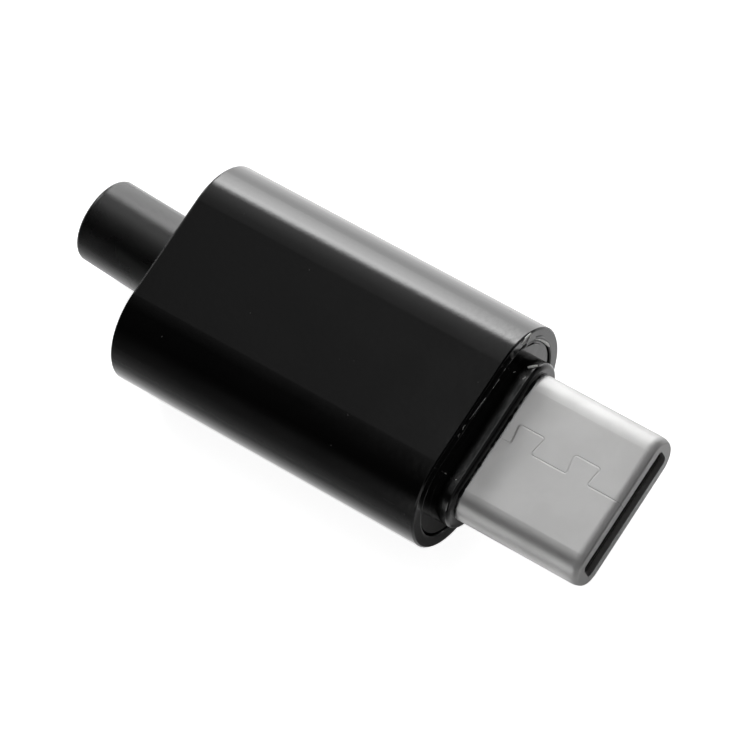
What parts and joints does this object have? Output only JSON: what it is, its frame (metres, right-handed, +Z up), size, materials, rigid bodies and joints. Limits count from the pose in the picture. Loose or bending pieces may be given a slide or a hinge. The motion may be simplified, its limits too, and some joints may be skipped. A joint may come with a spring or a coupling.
{
  "type": "usb-c plug",
  "caption": "Reversible cable plug: a full-round metal plug shell with a dovetailed seam in a gloss black housing, with a round soft boot for the cord at the back.",
  "frame": {"origin": "centre of the plug's nose, on the mating axis", "axes": "+X is the mating direction, out of the nose; +Y is across the plug; +Z is up, normal to the flat side that carries the shell's seam"},
  "size_m": [0.0319, 0.0122, 0.0066],
  "materials": {
    "shell_steel": "satin, nickel-plated rolled steel",
    "cap_plastic": "gloss black moulding with a little flash at the shell",
    "housing_plastic": "gloss black moulding",
    "boot_rubber": "matte black soft plastic",
    "insulator_plastic": "matte black moulded insulator",
    "spring_steel": "bare stamped spring steel",
    "contact_gold": "gold-plated copper alloy",
    "card_laminate": "green solder mask on glass laminate",
    "chip_ceramic": "ceramic chip with tinned ends"
  },
  "bodies": {
    "root": {"cable_boot": "boot_rubber", "chip_capacitor": "chip_ceramic", "chip_resistor": "chip_ceramic", "front_cap": "cap_plastic", "front_insulator": "insulator_plastic", "latch_frame": "spring_steel", "lower_contact_01": "contact_gold", "lower_contact_02": "contact_gold", "lower_contact_03": "contact_gold", "lower_contact_04": "contact_gold", "lower_contact_05": "contact_gold", "lower_contact_08": "contact_gold", "lower_contact_09": "contact_gold", "lower_contact_10": "contact_gold", "lower_contact_11": "contact_gold", "lower_contact_12": "contact_gold", "lower_contact_carrier": "insulator_plastic", "lower_ground_spring": "spring_steel", "lower_wire_pads": "contact_gold", "outer_housing": "housing_plastic", "paddle_card": "card_laminate", "plug_shell": "shell_steel", "upper_contact_01": "contact_gold", "upper_contact_02": "contact_gold", "upper_contact_03": "contact_gold", "upper_contact_04": "contact_gold", "upper_contact_05": "contact_gold", "upper_contact_06": "contact_gold", "upper_contact_07": "contact_gold", "upper_contact_08": "contact_gold", "upper_contact_09": "contact_gold", "upper_contact_10": "contact_gold", "upper_contact_11": "contact_gold", "upper_contact_12": "contact_gold", "upper_contact_carrier": "insulator_plastic", "upper_ground_spring": "spring_steel", "upper_wire_pads": "contact_gold"}
  },
  "joints": []
}
